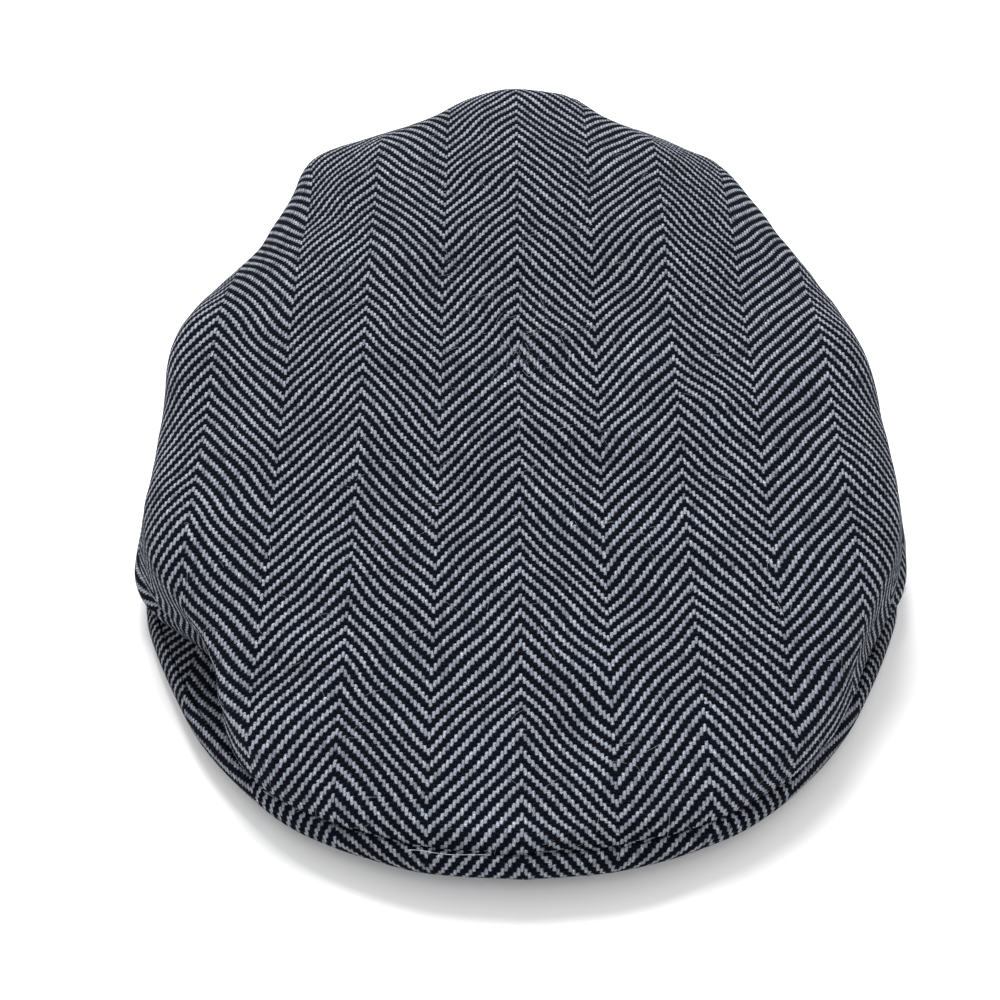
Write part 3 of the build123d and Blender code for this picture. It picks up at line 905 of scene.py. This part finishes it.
def label():
    """The blank woven label under the lining's middle, slightly curved, with its stitches."""
    low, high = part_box("maker_label")
    centre = (np.array(low) + np.array(high)) / 2 / MM
    rise = math.atan2(88 - 39, 63 + 45)
    along = np.array([0, math.cos(rise), math.sin(rise)])
    down = np.array([0, math.sin(rise), -math.cos(rise)])
    columns, rows = 47, 29
    vertices, uvs = [], []
    for layer in (0.0, LABEL_T):
        for j in range(rows):
            for i in range(columns):
                x = (i / (columns - 1) - 0.5) * LABEL_W
                y = (j / (rows - 1) - 0.5) * LABEL_L
                edge = max(min(1.0, (LABEL_W / 2 - abs(x)) / 1.2, (LABEL_L / 2 - abs(y)) / 1.2), 0)
                lift = 0.25 * math.sin(x * 0.21) * math.sin(y * 0.3)
                lift += 0.2 * (1 - edge) * (-1 if layer else 1)
                place = centre + np.array([x, 0, 0]) + along * y
                vertices.append(place + down * (layer + LABEL_DROP + 0.4 * lift))
                uvs.append((x, y))
    faces = []
    size = columns * rows
    for j in range(rows - 1):
        for i in range(columns - 1):
            a = j * columns + i
            faces.append((a, a + 1, a + columns + 1, a + columns))
            faces.append((size + a, size + a + columns, size + a + columns + 1, size + a + 1))
    rim = list(range(columns))
    rim += [j * columns + columns - 1 for j in range(1, rows)]
    rim += [(rows - 1) * columns + i for i in range(columns - 2, -1, -1)]
    rim += [j * columns for j in range(rows - 2, 0, -1)]
    for k in range(len(rim)):
        a, b = rim[k], rim[(k + 1) % len(rim)]
        faces.append((a, size + a, size + b, b))
    piece = make_object("maker_label_cloth", vertices, faces, LABEL_CLOTH, uvs)
    finish_piece(piece, "label", "maker_label")

    stitches = []
    for side in (-1, 1):
        row = centre + np.array([side * 21.6, 0, 0])
        for k in range(13):
            y = (k / 12 - 0.5) * 25.0
            start = row + along * (y - 0.7) + down * 2.45
            mid = row + along * y + down * 2.8
            end = row + along * (y + 0.7) + down * 2.45
            path = [start, (start + mid) / 2 + down * 0.12, mid,
                    (mid + end) / 2 + down * 0.12, end]
            stitches.append(tube(path, 0.16))
    gather_tubes("label_stitches", stitches, THREAD, "label")


label()


def size_tab():
    """The folded blank tab hanging beside the elastic's end."""
    low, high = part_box("size_tab")
    low, high = np.array(low) / MM, np.array(high) / MM
    centre = (low + high) / 2
    turn = math.radians(36.0)
    wide = np.array([math.cos(turn), math.sin(turn), 0])
    inward = np.array([math.sin(turn), -math.cos(turn), 0])
    half_h = (high[2] - low[2]) / 2
    t = np.linspace(0, 1, 40)
    z = np.where(t < 0.5, 1 - 4 * t, 4 * t - 3) * half_h
    depth = np.where(t < 0.5, -0.28, 0.28) * np.clip(np.abs(t - 0.5) * 12, 0, 1)
    line = centre + np.outer(depth, inward) + np.outer(z, [0, 0, 1.0])
    vertices, faces, uvs = strap(line, wide, np.full(len(t), 11.6), 0.35)
    piece = make_object("size_tab_cloth", vertices, faces, LABEL_CLOTH, uvs)
    finish_piece(piece, "label", "size_tab")


size_tab()


def binding():
    """The folded tape behind the visor's back edge."""
    reach = math.acos((HEM_WIDEST + 52.0) / OVAL_FRONT_REACH)
    angles = np.linspace(math.pi - reach, math.pi + reach, 220)
    vertices, uvs = [], []
    profile = [(0.7, 5.9), (0.2, 6.2), (-0.2, 8.6), (0.1, 11.2),
               (0.5, 11.6), (0.9, 11.2), (1.1, 8.6), (0.9, 6.2)]
    for i, angle in enumerate(angles):
        for depth, z in profile:
            p = band_point(angle, depth - 0.2)
            vertices.append((p[0], p[1], z + 0.15 * math.sin(i * 0.7)))
            uvs.append((i * 0.6, z))
    around = len(profile)
    faces = []
    for i in range(len(angles) - 1):
        for j in range(around):
            k = (j + 1) % around
            faces.append((i * around + j, (i + 1) * around + j,
                          (i + 1) * around + k, i * around + k))
    faces.append(tuple(range(around)))
    faces.append(tuple((len(angles) - 1) * around + j for j in reversed(range(around))))
    piece = make_object("visor_binding_tape", vertices, faces, TAPE, uvs)
    finish_piece(piece, "binding", "visor_binding")


binding()

# ================================================================ floor, light and camera

floor_mesh = bpy.data.meshes.new("floor")
floor_mesh.from_pydata([(-6, -6, 0), (6, -6, 0), (6, 6, 0), (-6, 6, 0)], [], [(0, 1, 2, 3)])
floor = bpy.data.objects.new("floor", floor_mesh)
bpy.context.scene.collection.objects.link(floor)
floor_shader = Shader("studio_floor")
floor_shader.set(base_color=(0.93, 0.93, 0.935), roughness=0.95)
floor_mesh.materials.append(floor_shader.material)


def area_light(name, place, target, size, power):
    data = bpy.data.lights.new(name, "AREA")
    data.shape = "DISK"
    data.size = size
    data.energy = power
    light = bpy.data.objects.new(name, data)
    light.location = place
    aim = (Vector(target) - Vector(place)).to_track_quat("-Z", "Y")
    light.rotation_euler = aim.to_euler()
    bpy.context.scene.collection.objects.link(light)


area_light("key_from_behind", (-0.15, 0.75, 1.25), (0, 0, 0.03), 0.7, 22)
area_light("soft_from_front", (0.2, -1.2, 1.3), (0, 0, 0.03), 1.4, 9)

world = bpy.data.worlds.new("studio")
world.use_nodes = True
world.node_tree.nodes["Background"].inputs[0].default_value = (1.0, 1.0, 1.0, 1.0)
world.node_tree.nodes["Background"].inputs[1].default_value = 0.75
bpy.context.scene.world = world
bpy.context.scene.view_settings.view_transform = "Standard"

CAMERA_DOWN = math.radians(36.0)
CAMERA_ROLL = math.radians(0.5)
CAMERA_PLACE = (0, -0.3185, 0.247)
camera_data = bpy.data.cameras.new("camera")
camera_data.sensor_width = 36.0
camera_data.lens = 50.4
camera_data.shift_x = -0.021
camera = bpy.data.objects.new("camera", camera_data)
tilt = Matrix.Rotation(math.pi / 2 - CAMERA_DOWN, 4, "X")
roll = Matrix.Rotation(-CAMERA_ROLL, 4, "Z")
camera.matrix_world = Matrix.Translation(CAMERA_PLACE) @ tilt @ roll
bpy.context.scene.collection.objects.link(camera)
bpy.context.scene.camera = camera

bpy.context.view_layer.update()
